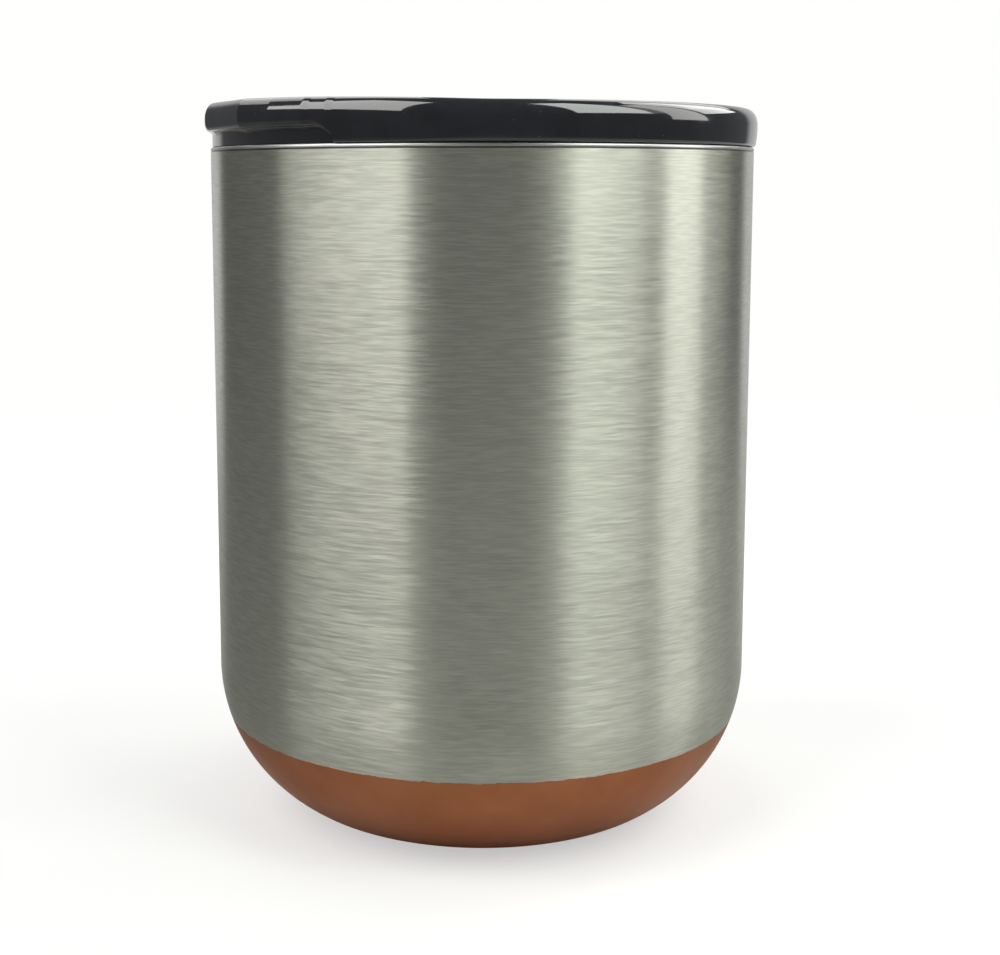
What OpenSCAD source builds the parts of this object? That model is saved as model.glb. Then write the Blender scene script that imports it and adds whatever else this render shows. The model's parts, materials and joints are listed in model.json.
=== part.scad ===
// Double-wall vacuum tumbler with a copper-plated base and a press-in lid.
// The axis of the cup is Z, the foot stands on z = 0, the pull tab of the lid
// points to -X and the drinking hole of the lid is on the +X side.

/* [Cup] */
// Outside diameter of the straight wall
body_d = 88; // [80:1:96]
// Height of the drinking lip above the table
cup_h = 109; // [100:0.2:130]
// Thickness of the steel walls
wall_t = 0.5; // [0.4:0.1:0.8]
// Width of the evacuated space between the two walls
vacuum_gap = 3.2; // [2.6:0.1:3.4]
// Height at which the steel shell meets the copper base
copper_h = 16.3; // [14:0.1:20]

/* [Base] */
// Radius of the circle on which the foot stands
foot_r = 24.2; // [22:0.2:26]
// Radius of the large curve that runs into the straight wall
shoulder_r = 26.4; // [25:0.2:28]
// Angle above the table at which the small curve ends and the large one starts
blend_angle = 33; // [30:1:36]
// Width of the flat ring that touches the table
foot_w = 1.6; // [1.2:0.1:2.4]
// Depth of the recess in the underside
recess_h = 1.6; // [1.2:0.1:2]

/* [Mouth] */
// Inside radius of the throat that takes the lid plug
throat_r = 41.6; // [41.4:0.1:41.8]
// Depth of the throat below the lip
throat_h = 9.5; // [9.2:0.1:12]
// Height of the lip above its seam with the outer wall
lip_h = 0.6; // [0.6:0.1:1.2]
// Radius of the outer edge of the lip
lip_round = 0.3; // [0.1:0.05:0.35]

/* [Lid] */
// Height of the rim of the lid above the lip
lid_rise = 6; // [5.8:0.1:7]
// Largest radius of the rim
rim_r = 44.5; // [44.45:0.05:45]
// Radius of the rim at its lower edge
rim_foot_r = 44.3; // [44:0.05:44.4]
// Radius of the round top edge of the rim
rim_round = 1.8; // [1.6:0.1:2.4]
// Space between the rim and the lip
seat_gap = 0.1; // [0.1:0.05:0.4]
// Depth of the dish in the top of the lid
dish_depth = 5; // [4.6:0.1:5.2]
// Thickness of the deck
deck_t = 2; // [1.8:0.1:2.4]
// Outside radius of the plug skirt
plug_r = 41; // [40.8:0.1:41.1]
// Length of the plug skirt below the rim
plug_h = 8.8; // [8.4:0.1:9]

/* [Pull tab] */
// How far the corners of the tab stand out from the rim
tab_out = 1; // [0.8:0.1:1.6]
// Half the angle between the two corners of the tab
tab_corner_angle = 9.2; // [7:0.2:11]
// How far the sides of the tab stand out from the rim
tab_side_out = 0.4; // [0.3:0.05:0.6]
// Angle from the middle of the tab at which its sides start to follow the rim
tab_flank_angle = 18; // [16:0.5:20]
// Angle from the middle of the tab to the first of the two steps down to the rim
tab_side_angle = 26.6; // [24:0.2:28]
// Angle from the middle of the tab to the second step
tab_ledge_angle = 31.8; // [30:0.2:33]
// Angle over which each step falls
tab_step_angle = 1.5; // [1.2:0.1:2]
// How far the ledge between the steps stands out from the rim
tab_ledge_out = 0.2; // [0.1:0.05:0.25]
// Height of the tab below the level top of the rim
tab_h = 3.5; // [3:0.1:4]
// How far the top of the rim climbs towards the tab
tab_rise = 0.9; // [0.4:0.1:1.4]

/* [Slide closure] */
// Length of the drinking hole across the lid
sip_l = 16; // [12:1:18]
// Width of the drinking hole along the slide
sip_w = 7; // [5:0.5:7]
// Distance of the drinking hole from the axis
sip_x = 31; // [30:0.5:31.5]
// Width of the slider
slider_w = 20; // [20:1:22]
// Travel of the slider from closed to open
slider_travel = 15; // [14:0.5:15]

/* [Hidden] */
$fn = 96;

STEEL = [0.72, 0.73, 0.69];
COPPER = [0.62, 0.36, 0.24];
BLACK = [0.09, 0.09, 0.10];
SILICONE = [0.16, 0.16, 0.17];

arc_steps = 10;

// Outer wall: a small curve rises from the foot and a large one runs into the wall.
body_r = body_d / 2;
toe_r = (body_r - foot_r - shoulder_r * (1 - sin(blend_angle))) / sin(blend_angle);
toe_c = [foot_r, toe_r];
shoulder_z = toe_r * (1 - cos(blend_angle)) + shoulder_r * cos(blend_angle);
shoulder_c = [body_r - shoulder_r, shoulder_z];
joint_a = -asin((shoulder_z - copper_h) / shoulder_r);
blend_a = blend_angle - 90;

// Inner wall: the same two curves, smaller, above the space for the getter.
liner_r = body_r - wall_t - vacuum_gap;
liner_foot_r = foot_r - 2.2;
liner_z = 7;
liner_shoulder_r = shoulder_r - 2.9;
liner_toe_r = (liner_r - liner_foot_r - liner_shoulder_r * (1 - sin(blend_angle)))
    / sin(blend_angle);
liner_toe_c = [liner_foot_r, liner_z + liner_toe_r];
liner_shoulder_z = liner_z + liner_toe_r * (1 - cos(blend_angle))
    + liner_shoulder_r * cos(blend_angle);
liner_shoulder_c = [liner_r - liner_shoulder_r, liner_shoulder_z];
throat_slope_h = 3;
foil_t = 0.1;
foil_margin = [2, 4];
seam_z = cup_h - lip_h;
seam_cut = 0.12;
lip_roll = 0.4;

// Underside
recess_run = 1;
foot_in_r = foot_r - foot_w;
recess_r = foot_in_r - recess_run;
dimple_r = 4;
dimple_run = 0.8;
dimple_h = 1.2;
dimple_z = recess_h + dimple_h;
bead_r = 1;
bead_cap = [1.6, 2.4, 0.7];
bead_rise = 0.2;
cover_r = recess_r - 0.4;

// Getter, held under the floor of the inner cup
getter_x = -13;
getter_r = 5;
getter_h = 2;
clip_t = 0.4;
clip_w = 4;
clip_play = 0.2;
clip_foot = 3;
clip_z = liner_z - clip_t - getter_h;

// Lid levels and radii
lid_top = cup_h + lid_rise;
rim_z = cup_h + seat_gap;
deck_z = lid_top - dish_depth;
plug_z = rim_z - plug_h;
plug_in_r = plug_r - 1.8;
plug_chamfer = 0.6;
groove_r = plug_r - 1;
groove_z = [plug_z + 2.1, plug_z + 5.9];
gasket_lip_h = 1.3;
gasket_tip_z = [0.9, 0.4];
gasket_clear = 0.15;
gasket_stand = 0.05;
dish_r = 40.4;
dish_round = 0.8;
dish_top_r = 41.6;
dish_edge = 0.5;
rim_edge = 0.5;
barrel_z = lid_top - rim_round;
climb_x = 20;
climb_a = atan(tab_rise / (rim_r - climb_x));
climb_out = 0.1;
peak_z = lid_top + tab_rise + 1;

// Pull tab and the finger notch under it
tab_r = rim_r + tab_out;
tab_side_r = rim_r + tab_side_out;
ledge_r = rim_r + tab_ledge_out;
tab_z = lid_top - tab_h;
collar_r = 43.7;
cove_r = 2;
notch_flat_w = 21;
notch_end_w = 3.5;
notch_h = tab_z - rim_z;
notch_in = 10;

// Slide closure, drawn closed
stem_x = 10;
stem = [5, 4.6];
stem_split = [1, 4.4];
slot_clear = 0.3;
slider_t = 1.6;
slider_z = deck_z + 0.25;
slider_back_x = stem_x - stem[0] / 2 - slider_travel - 0.5;
slider_front_r = 38.2;
seal_clear = 0.05;
seal = [11, 18];
pocket_h = 0.6;
rail_t = 1.3;
rail_h = 1.5;
rail_clear = 0.3;
rail_sink = 0.5;
rail_back_x = slider_back_x - slider_travel - 0.6;
rail_front_x = 36;
grip = [10, 16, 1.9];
grip_base_h = 1;
grip_x = stem_x - 10;
grip_ribs = 4;
retainer = [14, 14, 1.2];
retainer_clear = 0.3;
retainer_z = deck_z - deck_t - retainer_clear - retainer[2];
snap_head = [6.6, 4.6, 1];
vent_x = -31;
vent_r = 1.2;

// Points along an arc from angle a0 to a1 about c
function arc(c, r, a0, a1, n = arc_steps) =
    [for (i = [0 : n]) let (a = a0 + (a1 - a0) * i / n) c + r * [cos(a), sin(a)]];

// Points along part of an ellipse about c with half axes size
function oval(c, size, a0, a1) =
    [for (p = arc([0, 0], 1, a0, a1)) c + [p.x * size.x, p.y * size.y]];

// Sideways shift that keeps a bent sheet wall_t thick on a slope
function mitre(run, rise) = wall_t * (norm([run, rise]) - run) / rise;

function polar(r, a) = [r * cos(a), r * sin(a)];

module outer_shell() {
    color(STEEL) rotate_extrude() polygon(concat(
        arc(shoulder_c, shoulder_r, joint_a, 0),
        [
            [body_r, seam_z - seam_cut],
            [body_r - seam_cut, seam_z],
            [body_r - wall_t, seam_z]
        ],
        arc(shoulder_c, shoulder_r - wall_t, 0, joint_a)
    ));
}

module copper_base() {
    recess_m = mitre(recess_run, recess_h);
    dimple_m = mitre(dimple_run, dimple_h);
    color(COPPER) rotate_extrude() polygon(concat(
        arc(shoulder_c, shoulder_r, joint_a, blend_a),
        arc(toe_c, toe_r, blend_a, -90),
        [
            [foot_in_r, 0],
            [recess_r, recess_h],
            [dimple_r + dimple_run, recess_h],
            [dimple_r, dimple_z],
            [bead_r, dimple_z],
            [bead_r, dimple_z + wall_t],
            [dimple_r + dimple_m, dimple_z + wall_t],
            [dimple_r + dimple_run + dimple_m, recess_h + wall_t],
            [recess_r + recess_m, recess_h + wall_t],
            [foot_in_r + recess_m, wall_t]
        ],
        arc(toe_c, toe_r - wall_t, -90, blend_a),
        arc(shoulder_c, shoulder_r - wall_t, blend_a, joint_a)
    ));
}

// Thin disc glued into the recess, over the sealed evacuation hole
module base_cover() {
    color(STEEL) translate([0, 0, recess_h - wall_t]) cylinder(r = cover_r, h = wall_t);
}

// Glass solder that closes the evacuation hole
module vacuum_seal_bead() {
    color("dimgray") {
        translate([0, 0, dimple_z]) cylinder(r = bead_r, h = wall_t + bead_rise);
        translate([0, 0, dimple_z - bead_cap[2]])
            cylinder(r1 = bead_cap[0], r2 = bead_cap[1], h = bead_cap[2]);
    }
}

module getter_pellet() {
    color("gray") translate([getter_x, 0, clip_z + clip_t])
        cylinder(r = getter_r, h = getter_h - clip_t);
}

// Bent steel strap, welded by its two feet to the floor of the inner cup
module getter_clip() {
    inner = getter_r + clip_play;
    outer = inner + clip_t;
    foot = inner + clip_foot;
    under = liner_z - clip_t;
    color(STEEL) translate([getter_x, clip_w / 2, 0]) rotate([90, 0, 0])
        linear_extrude(clip_w) polygon([
            [-foot, liner_z], [-inner, liner_z], [-inner, clip_z + clip_t],
            [inner, clip_z + clip_t], [inner, liner_z], [foot, liner_z],
            [foot, under], [outer, under], [outer, clip_z],
            [-outer, clip_z], [-outer, under], [-foot, under]
        ]);
}

// Copper foil sleeve in the vacuum, around the inner cup
module radiation_foil() {
    foil_z = liner_shoulder_z + foil_margin[0];
    foil_h = cup_h - throat_h - throat_slope_h - foil_margin[1] - foil_z;
    color(COPPER) translate([0, 0, foil_z]) difference() {
        cylinder(r = liner_r + foil_t, h = foil_h);
        translate([0, 0, -1]) cylinder(r = liner_r, h = foil_h + 2);
    }
}

// Its lip is folded out over the outer wall and welded to it along a fine seam
module inner_cup() {
    throat_z = cup_h - throat_h;
    slope_z = throat_z - throat_slope_h;
    color(STEEL) rotate_extrude() polygon(concat(
        [[0, liner_z]],
        arc(liner_toe_c, liner_toe_r, -90, blend_a),
        arc(liner_shoulder_c, liner_shoulder_r, blend_a, 0),
        [
            [liner_r, slope_z],
            [throat_r + wall_t, throat_z],
            [throat_r + wall_t, cup_h - wall_t],
            [body_r - wall_t, cup_h - wall_t],
            [body_r - wall_t, seam_z],
            [body_r - seam_cut, seam_z],
            [body_r, seam_z + seam_cut]
        ],
        arc([body_r - lip_round, cup_h - lip_round], lip_round, 0, 90, 4),
        arc([throat_r + lip_roll, cup_h - lip_roll], lip_roll, 90, 180, 4),
        [
            [throat_r, throat_z],
            [liner_r - wall_t, slope_z]
        ],
        arc(liner_shoulder_c, liner_shoulder_r - wall_t, 0, blend_a),
        arc(liner_toe_c, liner_toe_r - wall_t, blend_a, -90),
        [[0, liner_z + wall_t]]
    ));
}

// Half section of the lid without tab, rails and holes
module lid_section() {
    barrel = (rim_r - rim_foot_r) / 2
        + pow(barrel_z - rim_z - rim_edge, 2) / (2 * (rim_r - rim_foot_r));
    barrel_end = -asin((barrel_z - rim_z - rim_edge) / barrel);
    polygon(concat(
        [
            [0, deck_z - deck_t],
            [plug_in_r, deck_z - deck_t],
            [plug_in_r, plug_z],
            [plug_r - plug_chamfer, plug_z],
            [plug_r, plug_z + plug_chamfer],
            [plug_r, groove_z[0]],
            [groove_r, groove_z[0]],
            [groove_r, groove_z[1]],
            [plug_r, groove_z[1]],
            [plug_r, rim_z]
        ],
        arc([rim_foot_r - rim_edge, rim_z + rim_edge], rim_edge, -90, 0, 4),
        arc([rim_r - barrel, barrel_z], barrel, barrel_end, 0, 6),
        arc([rim_r - rim_round, barrel_z], rim_round, 0, 90),
        arc([dish_top_r, lid_top - dish_edge], dish_edge, 90, 160, 4),
        arc([dish_r - dish_round, deck_z + dish_round], dish_round, -20, -90, 5),
        [[0, deck_z]]
    ));
}

// Corners of one half of the tab: flank, side, step, ledge and second step
tab_half = [
    [tab_r, tab_corner_angle],
    [tab_side_r, tab_flank_angle],
    [tab_side_r, tab_side_angle],
    [ledge_r, tab_side_angle + tab_step_angle],
    [ledge_r, tab_ledge_angle],
    [rim_r, tab_ledge_angle + tab_step_angle]
];

// Outline of the pull tab seen from above, with its middle along -X
module tab_plan() {
    last = len(tab_half) - 1;
    difference() {
        polygon(concat(
            [for (i = [last : -1 : 0]) polar(tab_half[i][0], 180 - tab_half[i][1])],
            [for (corner = tab_half) polar(corner[0], 180 + corner[1])],
            [[0, 0]]
        ));
        circle(r = rim_r - rim_round);
    }
}

// Tips a shape up towards the tab, about a line across the top of the lid
module climbing() {
    translate([-climb_x, 0, lid_top]) rotate([0, climb_a, 0])
        translate([climb_x, 0, -lid_top]) children();
}

// Solid under the level top of the rim, with the rim's round edge at radius r
module rim_cap(r) {
    below = barrel_z - 2 * cove_r;
    rotate_extrude() polygon(concat(
        [[dish_r, below], [r, below]],
        arc([r - rim_round, barrel_z], rim_round, 0, 90),
        [[dish_r, lid_top]]
    ));
}

// The side of the rim that climbs towards the tab
module climbing_rim() {
    side = 2 * tab_r;
    intersection() {
        translate([0, 0, barrel_z]) difference() {
            cylinder(r = rim_r, h = peak_z - barrel_z);
            translate([0, 0, -1]) cylinder(r = dish_top_r, h = peak_z - barrel_z + 2);
        }
        climbing() rim_cap(rim_r + climb_out);
        translate([-climb_x - side, -side / 2, 0]) cube([side, side, peak_z]);
    }
}

module tab_block() {
    foot_z = tab_z - cove_r;
    intersection() {
        translate([0, 0, foot_z]) linear_extrude(peak_z - foot_z) tab_plan();
        climbing() rim_cap(tab_r);
    }
}

// Space for a fingertip under the tab, down to the collar that stands on the lip
module finger_notch() {
    below = rim_z - 2;
    end_w = notch_flat_w + notch_end_w;
    intersection() {
        translate([notch_in - rim_r, 0, 0]) rotate([90, 0, -90]) linear_extrude(notch_in + tab_out + 1)
            polygon(concat(
                [[-end_w, below]],
                oval([-notch_flat_w, rim_z], [notch_end_w, notch_h], 180, 90),
                oval([notch_flat_w, rim_z], [notch_end_w, notch_h], 90, 0),
                [[end_w, below]]
            ));
        rotate_extrude() polygon(concat(
            [[collar_r, below - 1], [tab_r + 3, below - 1], [tab_r + 3, tab_z]],
            arc([collar_r + cove_r, tab_z - cove_r], cove_r, 90, 180)
        ));
    }
}

module slot(l, w, h) {
    hull_r = w / 2;
    translate([-l / 2 + hull_r, 0, 0]) cylinder(r = hull_r, h = h);
    translate([l / 2 - hull_r, 0, 0]) cylinder(r = hull_r, h = h);
    translate([-l / 2 + hull_r, -hull_r, 0]) cube([l - w, w, h]);
}

module rails() {
    rail_y = slider_w / 2 + rail_clear;
    tall = rail_h + rail_sink;
    z = deck_z - rail_sink;
    for (side = [-1, 1])
        translate([rail_back_x, side > 0 ? rail_y : -rail_y - rail_t, z])
            cube([rail_front_x - rail_back_x, rail_t, tall]);
    translate([rail_back_x - rail_t, -rail_y - rail_t, z])
        cube([rail_t, 2 * (rail_y + rail_t), tall]);
}

module lid_body() {
    stem_slot = stem[0] + slider_travel + 2 * slot_clear;
    stem_w = stem[1] + 2 * slot_clear;
    below = deck_z - deck_t - 1;
    through = deck_t + 2;
    color(BLACK) difference() {
        union() {
            rotate_extrude() lid_section();
            climbing_rim();
            tab_block();
            rails();
        }
        finger_notch();
        translate([sip_x, 0, below]) rotate([0, 0, 90]) slot(sip_l, sip_w, through);
        translate([stem_x - stem[0] / 2 - slider_travel - slot_clear, -stem_w / 2, below])
            cube([stem_slot, stem_w, through]);
        translate([vent_x, 0, below]) cylinder(r = vent_r, h = through);
    }
}

// Silicone ring with two lips in the groove of the plug
module lid_gasket() {
    lip_r = throat_r - gasket_clear;
    band_r = plug_r + gasket_stand;
    z0 = groove_z[0];
    z1 = groove_z[1];
    color(SILICONE) rotate_extrude() polygon([
        [groove_r, z0], [band_r, z0], [lip_r, z0 + gasket_tip_z[0]], [band_r, z0 + gasket_lip_h],
        [band_r, z1 - gasket_lip_h], [lip_r, z1 - gasket_tip_z[1]], [band_r, z1], [groove_r, z1]
    ]);
}

module slider_plan() {
    intersection() {
        translate([slider_back_x, -slider_w / 2])
            square([slider_front_r - slider_back_x, slider_w]);
        circle(r = slider_front_r);
    }
}

// Thumb slider with its stem, which is split so that the snap head can close
module slider() {
    stem_top = slider_z + 0.5;
    head_z = retainer_z - snap_head[2];
    rib_pitch = grip[0] / grip_ribs;
    color(BLACK) difference() {
        union() {
            translate([0, 0, slider_z]) linear_extrude(slider_t) slider_plan();
            translate([grip_x - grip[0] / 2, -grip[1] / 2, slider_z + slider_t])
                cube([grip[0], grip[1], grip_base_h]);
            for (i = [0 : grip_ribs - 1])
                translate([grip_x - grip[0] / 2 + i * rib_pitch, -grip[1] / 2, slider_z + slider_t])
                    cube([rib_pitch / 2, grip[1], grip[2]]);
            translate([stem_x - stem[0] / 2, -stem[1] / 2, head_z])
                cube([stem[0], stem[1], stem_top - head_z]);
            translate([stem_x - snap_head[0] / 2, -snap_head[1] / 2, head_z])
                cube(snap_head);
        }
        translate([sip_x - seal[0] / 2, -seal[1] / 2, slider_z - 1])
            cube([seal[0], seal[1], pocket_h + 1]);
        translate([stem_x - stem_split[0] / 2, -stem[1], head_z - 1])
            cube([stem_split[0], 2 * stem[1], stem_split[1]]);
    }
}

// Silicone pad that closes the drinking hole
module slider_seal() {
    bottom = deck_z + seal_clear;
    color(SILICONE) translate([sip_x - seal[0] / 2, -seal[1] / 2, bottom])
        cube([seal[0], seal[1], slider_z + pocket_h - bottom]);
}

// Plate under the deck that holds the slider down
module slider_retainer() {
    color(BLACK) difference() {
        translate([stem_x - retainer[0] / 2, -retainer[1] / 2, retainer_z]) cube(retainer);
        translate([stem_x - stem[0] / 2, -stem[1] / 2, retainer_z - 1])
            cube([stem[0], stem[1], retainer[2] + 2]);
    }
}

outer_shell();
copper_base();
base_cover();
vacuum_seal_bead();
getter_pellet();
getter_clip();
radiation_foil();
inner_cup();
lid_body();
lid_gasket();
slider();
slider_seal();
slider_retainer();
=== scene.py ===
"""Looks of the double-wall tumbler: steel wall, copper base, dark lid with a pull tab and a slide closure.

Lengths are in metres; those of the cup and of the camera's place are written as millimetres times MM. The
axis of the cup is z, the foot stands on z = 0, the pull tab points to -x and the drinking hole is on the +x
side. In the lid, an angle called turn is in degrees round the axis from the middle of the tab.
"""

import json
import math

import bmesh
import bpy
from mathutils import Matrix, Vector
from mathutils.geometry import delaunay_2d_cdt


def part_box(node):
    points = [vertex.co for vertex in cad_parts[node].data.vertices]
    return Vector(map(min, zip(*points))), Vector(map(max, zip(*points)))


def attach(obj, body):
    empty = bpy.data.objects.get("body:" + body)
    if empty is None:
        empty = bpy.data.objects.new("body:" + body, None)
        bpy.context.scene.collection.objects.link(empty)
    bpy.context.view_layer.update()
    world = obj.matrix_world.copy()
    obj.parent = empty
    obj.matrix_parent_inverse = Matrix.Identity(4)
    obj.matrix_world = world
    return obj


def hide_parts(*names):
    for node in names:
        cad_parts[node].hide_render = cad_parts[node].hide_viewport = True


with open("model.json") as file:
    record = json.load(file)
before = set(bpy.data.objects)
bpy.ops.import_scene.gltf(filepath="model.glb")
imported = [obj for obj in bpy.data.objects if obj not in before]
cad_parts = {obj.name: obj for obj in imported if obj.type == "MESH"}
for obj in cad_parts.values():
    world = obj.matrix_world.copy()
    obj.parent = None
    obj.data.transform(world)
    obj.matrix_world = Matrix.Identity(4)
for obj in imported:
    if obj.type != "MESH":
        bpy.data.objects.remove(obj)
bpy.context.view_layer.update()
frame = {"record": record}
MM = 0.001


# ---------------------------------------------------------------- sizes, from the frame where it has them

def top_of(node):
    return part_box(node)[1][2]


def bottom_of(node):
    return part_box(node)[0][2]


MOUNTS = {mount["name"]: mount for mount in frame["record"]["mounts"]}

# Cup
BODY_R = MOUNTS["body_wall"]["dims"]["r_mm"] * MM
WALL_T = 0.5 * MM
LIP_Z = top_of("inner_cup")
LIP_ROUND = 0.3 * MM
SEAM_Z = top_of("outer_shell")
SEAM_CUT = 0.12 * MM
FLOOR_Z = bottom_of("inner_cup")

# Rounded bottom, its copper line and its underside
FOOT_R = 24.2 * MM
FOOT_W = 1.6 * MM
SHOULDER_R = 26.4 * MM
BLEND_ANGLE = 33.0
COPPER_Z = 16.3 * MM
RECESS_H = 1.6 * MM
RECESS_RUN = 1.0 * MM
DIMPLE_R = 4.0 * MM
DIMPLE_RUN = 0.8 * MM
DIMPLE_Z = RECESS_H + 1.2 * MM

# Inner cup
LINER_R = BODY_R - WALL_T - 3.2 * MM
THROAT_R = 41.6 * MM
THROAT_Z = LIP_Z - 9.5 * MM
SLOPE_H = 3.0 * MM
LIP_ROLL = 0.4 * MM

# Lid, without its tab
LID_TOP = LIP_Z + 6.0 * MM
PLUG_Z = bottom_of("lid_body")
RIM_Z = LIP_Z + 0.1 * MM
DECK_Z = LID_TOP - 5.0 * MM
DECK_T = 2.0 * MM
RIM_R = 44.5 * MM
RIM_FOOT_R = 44.3 * MM
RIM_EDGE = 0.5 * MM
RIM_ROUND = 1.8 * MM
RIM_ROUND_H = 2.5 * MM
FILLET_Z = LID_TOP - RIM_ROUND_H
PLUG_R = 41.0 * MM
PLUG_IN_R = 39.2 * MM
GROOVE_R = 40.0 * MM
DISH_R = 40.4 * MM
DISH_ROUND = 0.8 * MM
DISH_TOP_R = 41.6 * MM
DISH_EDGE = 0.5 * MM

# Pull tab: (radius, turn) corners of its outline, from one end of its middle face, along that face and on
# to where the rim starts again; the other side is a mirror image
TAB_R = RIM_R + 1.0 * MM
TAB_SIDE_R = RIM_R + 0.4 * MM
LEDGE_R = RIM_R + 0.2 * MM
TAB_CORNERS = (
    (TAB_R, -9.2),
    (TAB_R, 9.2),
    (TAB_SIDE_R, 18.0),
    (TAB_SIDE_R, 26.6),
    (LEDGE_R, 28.1),
    (LEDGE_R, 31.8),
    (RIM_R, 33.3),
)
CORNER_SPREAD = 0.16
TAB_Z = LID_TOP - 3.5 * MM
TAB_EDGE = 0.8 * MM
COLLAR_R = 43.7 * MM
COVE_R = 2.0 * MM

# The rim's top climbs towards the tab, with a bend at the start
CLIMB_START = 17.0 * MM
CLIMB_BEND = 6.0 * MM
CLIMB_SLOPE = 0.85 / 24.5

# Finger notch under the tab: half its level width, and the run of its rounded ends
NOTCH_FLAT = 21.0 * MM
NOTCH_END = 3.5 * MM

# Slide closure
SIP_L = 16.0 * MM
SIP_W = 7.0 * MM
SIP_X = 31.0 * MM
STEM_X = 10.0 * MM
STEM = (5.0 * MM, 4.6 * MM)
TRAVEL = 15.0 * MM
SLOT_CLEAR = 0.3 * MM
SLIDER_Z = DECK_Z + 0.25 * MM
SLIDER_T = 1.6 * MM
RAIL_T = 1.3 * MM
RAIL_H = 1.5 * MM
RAIL_FRONT_X = 36.0 * MM
VENT_X = -31.0 * MM
VENT_R = 1.2 * MM


# ---------------------------------------------------------------- curves

def arc(centre, radius, start, end, steps=10):
    """Points on a circle from one angle to another, in degrees."""
    turns = [math.radians(start + (end - start) * i / steps) for i in range(steps + 1)]
    return [(centre[0] + radius * math.cos(a), centre[1] + radius * math.sin(a)) for a in turns]


def oval(centre, size, start, end, steps):
    """Points on part of an ellipse with the two half axes of size."""
    circle = arc((0, 0), 1.0, start, end, steps)
    return [(centre[0] + size[0] * x, centre[1] + size[1] * y) for x, y in circle]


def rounded(corners, step=15.0):
    """A closed outline from (x, y, radius) corners, each corner replaced by an arc."""
    points = []
    count = len(corners)
    for i, (x, y, radius) in enumerate(corners):
        here = Vector((x, y))
        before = Vector(corners[i - 1][:2]) - here
        after = Vector(corners[(i + 1) % count][:2]) - here
        if radius <= 0.0:
            points.append((x, y))
            continue
        before.normalize()
        after.normalize()
        inside = before.angle(after)
        turn = math.pi - inside
        reach = radius * math.tan(turn / 2)
        centre = here + (before + after).normalized() * (radius / math.sin(inside / 2))
        first = here + before * reach - centre
        last = here + after * reach - centre
        start = math.degrees(math.atan2(first.y, first.x))
        sweep = math.degrees(math.atan2(first.x * last.y - first.y * last.x, first.dot(last)))
        points += arc(centre, radius, start, start + sweep, max(2, round(abs(sweep) / step)))
    return points


def offset(points, distance):
    """A closed outline moved outwards, or inwards where distance is negative."""
    moved = []
    count = len(points)
    area = sum(points[i - 1][0] * points[i][1] - points[i][0] * points[i - 1][1] for i in range(count))
    side = 1.0 if area > 0 else -1.0
    for i in range(count):
        here = Vector(points[i])
        a = (here - Vector(points[i - 1])).normalized()
        b = (Vector(points[(i + 1) % count]) - here).normalized()
        normal_a = Vector((a.y, -a.x)) * side
        normal_b = Vector((b.y, -b.x)) * side
        middle = (normal_a + normal_b).normalized()
        spot = here + middle * (distance / max(0.3, middle.dot(normal_a)))
        moved.append((spot.x, spot.y))
    return moved


def rectangle(x, y, length, width, radius):
    """A rounded rectangle about (x, y); a full radius makes a slot or a circle."""
    a, b = length / 2, width / 2
    r = min(radius, a * 0.9999, b * 0.9999)
    return rounded([(x - a, y - b, r), (x + a, y - b, r), (x + a, y + b, r), (x - a, y + b, r)])


# ---------------------------------------------------------------- meshes

SHARP_ANGLE = math.radians(35.0)
MERGE_DISTANCE = 1e-6


def finish_mesh(name, bm, body, stands_for, material):
    """A piece from a bmesh: smooth, with face-weighted normals, riding on its body."""
    bmesh.ops.remove_doubles(bm, verts=bm.verts, dist=MERGE_DISTANCE)
    bmesh.ops.recalc_face_normals(bm, faces=bm.faces)
    mesh = bpy.data.meshes.new(name)
    bm.to_mesh(mesh)
    bm.free()
    for face in mesh.polygons:
        face.use_smooth = True
    mesh.set_sharp_from_angle(angle=SHARP_ANGLE)
    mesh.materials.append(material)
    piece = bpy.data.objects.new(name, mesh)
    bpy.context.scene.collection.objects.link(piece)
    weighted = piece.modifiers.new("weighted_normals", "WEIGHTED_NORMAL")
    weighted.keep_sharp = True
    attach(piece, body)
    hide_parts(stands_for)


def add_rows(bm, rows, close_columns=False):
    """Quads between closed rows of points; all rows have the same number of points."""
    grid = [[bm.verts.new(point) for point in row] for row in rows]
    row_pairs = list(zip(grid, grid[1:]))
    if close_columns:
        row_pairs.append((grid[-1], grid[0]))
    for low, high in row_pairs:
        count = len(low)
        for i in range(count):
            k = (i + 1) % count
            bm.faces.new((low[i], low[k], high[k], high[i]))
    return grid


def circle_rows(profile, segments):
    """Rows of points round the axis, one for each (radius, height) of the profile."""
    turns = [2 * math.pi * i / segments for i in range(segments)]
    return [[(r * math.cos(a), r * math.sin(a), z) for a in turns] for r, z in profile]


def lathe(bm, profile, segments, closed=True):
    """A profile turned round the axis; closed joins its last point to its first."""
    add_rows(bm, circle_rows(profile, segments), close_columns=closed)


def fill(bm, outer, holes, z):
    """A flat face at height z inside the outer loop and outside the holes."""
    points = []
    edges = []
    for loop in [outer, *holes]:
        start = len(points)
        points += [Vector(point) for point in loop]
        edges += [(start + i, start + (i + 1) % len(loop)) for i in range(len(loop))]
    spots, _, faces, _, _, _ = delaunay_2d_cdt(points, edges, [], 0, 1e-9)
    verts = [bm.verts.new((spot.x, spot.y, z)) for spot in spots]
    for face in faces:
        middle = sum((spots[i] for i in face), Vector((0.0, 0.0))) / len(face)
        if inside(middle, outer) and not any(inside(middle, hole) for hole in holes):
            bm.faces.new([verts[i] for i in face])


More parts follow.
